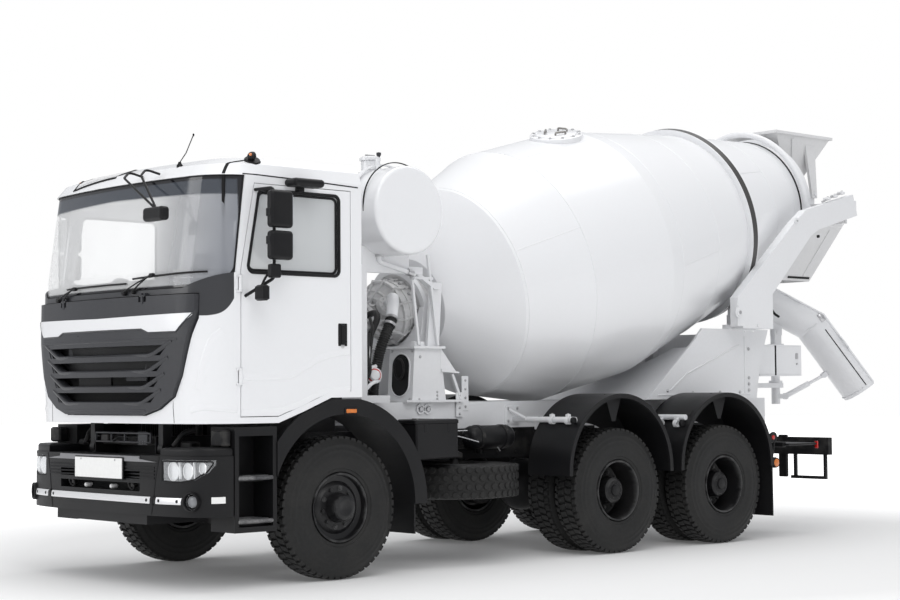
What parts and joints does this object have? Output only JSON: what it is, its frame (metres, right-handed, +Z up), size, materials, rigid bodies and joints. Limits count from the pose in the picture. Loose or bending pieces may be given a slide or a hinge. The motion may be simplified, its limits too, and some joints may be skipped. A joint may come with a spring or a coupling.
{
  "type": "concrete mixer truck",
  "caption": "Three-axle cab-over truck with a tilted rotating concrete drum, charging hopper, discharge collector and swinging chute; cab, doors, wheels and steering move.",
  "frame": {"origin": "on the ground under the middle of the whole truck's box", "axes": "+X forward to the bumper, +Y the truck's left side, +Z up"},
  "size_m": [9.2404, 3.01, 4.09],
  "materials": {
    "white_paint": "gloss",
    "grey_paint": "satin",
    "chassis_black": "satin",
    "rim_black": "satin",
    "black_plastic": "grained",
    "dark_grey_plastic": "satin",
    "cast_grey": "cast",
    "steel": "brushed",
    "lamp_glass": "clear",
    "glass": "clear",
    "seat_fabric": "woven",
    "hose_rubber": "matte",
    "tyre": "matte"
  },
  "bodies": {
    "chassis": {"chassis_rails": "chassis_black", "subframe": "white_paint", "engine": "cast_grey", "front_axle": "chassis_black", "drive_axles": "chassis_black", "leaf_springs": "chassis_black", "bumper": "black_plastic", "headlamps": "lamp_glass", "steps": "black_plastic", "fenders": "black_plastic", "battery_box": "chassis_black", "fuel_tank": "chassis_black", "spare_wheel": "tyre", "tail_bar": "chassis_black", "front_pedestal": "white_paint", "gearbox": "cast_grey", "hoses": "hose_rubber", "water_tank": "white_paint", "rear_pedestal": "white_paint", "side_arms": "white_paint", "discharge_collector": "grey_paint", "tool_box": "white_paint"},
    "cab": {"cab_shell": "white_paint", "cab_roof": "white_paint", "front_panel": "white_paint", "cab_glass": "glass", "seats": "seat_fabric", "dashboard": "black_plastic", "front_mirror": "black_plastic"},
    "grille_lid": {"grille": "dark_grey_plastic"},
    "tie_rod": {"tie_rod": "chassis_black"},
    "drum": {"drum": "white_paint"},
    "roller_left": {"roller_left": "cast_grey"},
    "roller_right": {"roller_right": "cast_grey"},
    "charging_hopper": {"charging_hopper": "grey_paint"},
    "chute_bracket": {"chute_bracket": "white_paint"},
    "chute": {"chute": "white_paint"},
    "jack_tube": {"jack_tube": "white_paint"},
    "jack_screw": {"jack_screw": "steel"},
    "door_left": {"door_left": "white_paint", "door_glass_left": "glass", "mirror_left": "black_plastic"},
    "knuckle_left": {"knuckle_left": "chassis_black"},
    "wheel_front_left": {"front_tyre_left": "tyre", "front_rim_left": "rim_black"},
    "wheel_mid_left": {"mid_tyres_left": "tyre", "mid_rims_left": "rim_black"},
    "wheel_rear_left": {"rear_tyres_left": "tyre", "rear_rims_left": "rim_black"},
    "door_right": {"door_right": "white_paint", "door_glass_right": "glass", "mirror_right": "black_plastic"},
    "knuckle_right": {"knuckle_right": "chassis_black"},
    "wheel_front_right": {"front_tyre_right": "tyre", "front_rim_right": "rim_black"},
    "wheel_mid_right": {"mid_tyres_right": "tyre", "mid_rims_right": "rim_black"},
    "wheel_rear_right": {"rear_tyres_right": "tyre", "rear_rims_right": "rim_black"}
  },
  "joints": [
    {"name": "steer_left", "type": "hinge", "parent": "chassis", "child": "knuckle_left", "pos_m": [3.115, 0.93, 0.5425], "axis": [0, 0, 1], "range_deg": [-32, 32]},
    {"name": "steer_right", "type": "hinge", "parent": "chassis", "child": "knuckle_right", "pos_m": [3.115, -0.93, 0.5425], "axis": [0, 0, 1], "range_deg": [-32, 32]},
    {"name": "wheel_front_left", "type": "hinge", "parent": "knuckle_left", "child": "wheel_front_left", "pos_m": [3.115, 1.047, 0.5425], "axis": [0, 1, 0], "continuous": true},
    {"name": "wheel_mid_left", "type": "hinge", "parent": "chassis", "child": "wheel_mid_left", "pos_m": [0.055, 1.064, 0.5425], "axis": [0, 1, 0], "continuous": true},
    {"name": "wheel_rear_left", "type": "hinge", "parent": "chassis", "child": "wheel_rear_left", "pos_m": [-1.375, 1.064, 0.5425], "axis": [0, 1, 0], "continuous": true},
    {"name": "wheel_front_right", "type": "hinge", "parent": "knuckle_right", "child": "wheel_front_right", "pos_m": [3.115, -1.047, 0.5425], "axis": [0, 1, 0], "continuous": true},
    {"name": "wheel_mid_right", "type": "hinge", "parent": "chassis", "child": "wheel_mid_right", "pos_m": [0.055, -1.064, 0.5425], "axis": [0, 1, 0], "continuous": true},
    {"name": "wheel_rear_right", "type": "hinge", "parent": "chassis", "child": "wheel_rear_right", "pos_m": [-1.375, -1.064, 0.5425], "axis": [0, 1, 0], "continuous": true},
    {"name": "tie_rod_turn", "type": "hinge", "parent": "knuckle_left", "child": "tie_rod", "pos_m": [2.985, 0.93, 0.3915], "axis": [0, 0, 1], "range_deg": [-32, 32]},
    {"name": "cab_tilt", "type": "hinge", "parent": "chassis", "child": "cab", "pos_m": [4.215, 0, 1], "axis": [0, 1, 0], "range_deg": [0, 45]},
    {"name": "door_left_swing", "type": "hinge", "parent": "cab", "child": "door_left", "pos_m": [4.082, 1.25, 1.9], "axis": [0, 0, -1], "range_deg": [0, 70]},
    {"name": "door_right_swing", "type": "hinge", "parent": "cab", "child": "door_right", "pos_m": [4.082, -1.25, 1.9], "axis": [0, 0, 1], "range_deg": [0, 70]},
    {"name": "grille_lift", "type": "hinge", "parent": "cab", "child": "grille_lid", "pos_m": [4.466, 0, 2.1235], "axis": [0, -1, 0], "range_deg": [0, 60]},
    {"name": "drum_spin", "type": "hinge", "parent": "chassis", "child": "drum", "pos_m": [-2.135, 0, 3.04], "axis": [-0.9703, 0, 0.2419], "continuous": true},
    {"name": "roller_left_spin", "type": "hinge", "parent": "chassis", "child": "roller_left", "pos_m": [-2.35507, 0.63696, 2.15735], "axis": [-0.9703, 0, 0.2419], "continuous": true},
    {"name": "roller_right_spin", "type": "hinge", "parent": "chassis", "child": "roller_right", "pos_m": [-2.35507, -0.63696, 2.15735], "axis": [-0.9703, 0, 0.2419], "continuous": true},
    {"name": "hopper_tip", "type": "hinge", "parent": "chassis", "child": "charging_hopper", "pos_m": [-4.035, 0, 3.47], "axis": [0, -1, 0], "range_deg": [0, 60]},
    {"name": "chute_swing", "type": "hinge", "parent": "chassis", "child": "chute_bracket", "pos_m": [-3.705, 0, 2], "axis": [0, 0, 1], "range_deg": [-46, 124]},
    {"name": "chute_tilt", "type": "hinge", "parent": "chute_bracket", "child": "chute", "pos_m": [-3.71277, 0.00629, 2], "axis": [0.6293, 0.7771, 0], "range_deg": [-6, 10]},
    {"name": "jack_swing", "type": "hinge", "parent": "chute_bracket", "child": "jack_tube", "pos_m": [-3.78271, 0.06293, 1.33], "axis": [0.6293, 0.7771, 0], "range_deg": [-20, 20]},
    {"name": "jack_slide", "type": "slide", "parent": "jack_tube", "child": "jack_screw", "axis": [-0.6881, 0.5572, 0.4649], "range_m": [-0.08, 0.13]}
  ],
  "couplings": [
    {"joint": "steer_right", "follows": "steer_left", "ratio": 1},
    {"joint": "tie_rod_turn", "follows": "steer_left", "ratio": -1},
    {"joint": "roller_left_spin", "follows": "drum_spin", "ratio": -7.88},
    {"joint": "roller_right_spin", "follows": "drum_spin", "ratio": -7.88},
    {"joint": "jack_swing", "follows": "chute_tilt", "ratio": 0.5025},
    {"joint": "jack_slide", "follows": "chute_tilt", "m_per_rad": 0.6304}
  ]
}
